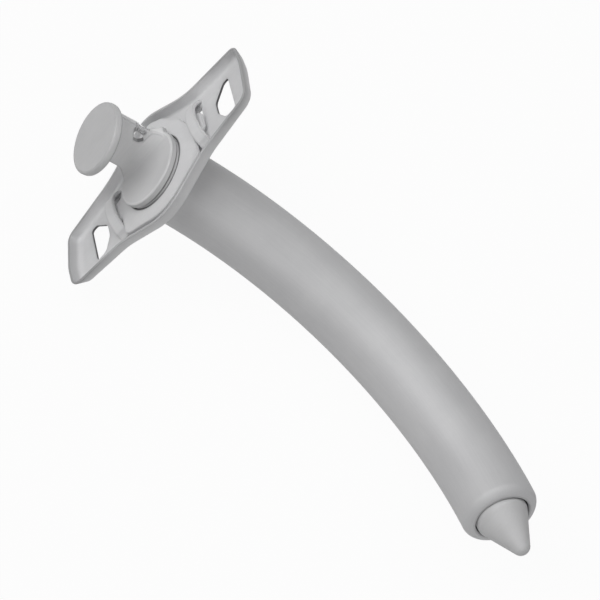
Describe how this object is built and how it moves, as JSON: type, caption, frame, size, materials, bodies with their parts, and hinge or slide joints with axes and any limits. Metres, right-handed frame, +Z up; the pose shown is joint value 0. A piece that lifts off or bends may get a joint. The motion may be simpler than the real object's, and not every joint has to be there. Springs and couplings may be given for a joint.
{
  "type": "metal tracheostomy tube",
  "caption": "Curved metal tube with a pressed neck plate, a turning catch and a fitted obturator whose bullet tip fills its far end, lying on its side.",
  "frame": {"origin": "middle of the bounding box's bottom face, on the table that the set lies on", "axes": "+Z up from the table; +X along the set's longest extent, from the neck plate's end to the obturator's tip; +Y completes a right-handed frame"},
  "size_m": [0.0924, 0.038, 0.032],
  "materials": {
    "tube_metal": "satin-polished plated metal with faint lengthwise streaks",
    "plate_metal": "satin plated metal, smooth pressed surface",
    "obturator_metal": "brushed plated metal with soft edges",
    "catch_metal": "bright polished metal"
  },
  "bodies": {
    "tube": {"outer_tube": "tube_metal", "collar_plate": "plate_metal", "catch_post": "catch_metal"},
    "neck": {"neck_plate": "plate_metal"},
    "catch": {"catch_lever": "catch_metal"},
    "obturator": {"obturator_handle": "obturator_metal", "obturator_rod": "obturator_metal", "obturator_tip": "obturator_metal"}
  },
  "joints": [
    {"name": "neck_plate_tilt", "type": "hinge", "parent": "tube", "child": "neck", "pos_m": [-0.03386, 0.00027, 0.0155], "axis": [-0.0964, 0.7853, 0.6115], "range_deg": [-2, 2]},
    {"name": "catch_turn", "type": "hinge", "parent": "tube", "child": "catch", "pos_m": [-0.04088, 0.00187, 0.01471], "axis": [-0.7256, -0.476, 0.4969], "range_deg": [-235, 45]},
    {"name": "obturator_swing", "type": "hinge", "parent": "tube", "child": "obturator", "pos_m": [0.00752, -0.02323, 0.05221], "axis": [-0.0964, 0.7853, 0.6115], "range_deg": [0, 90]}
  ]
}
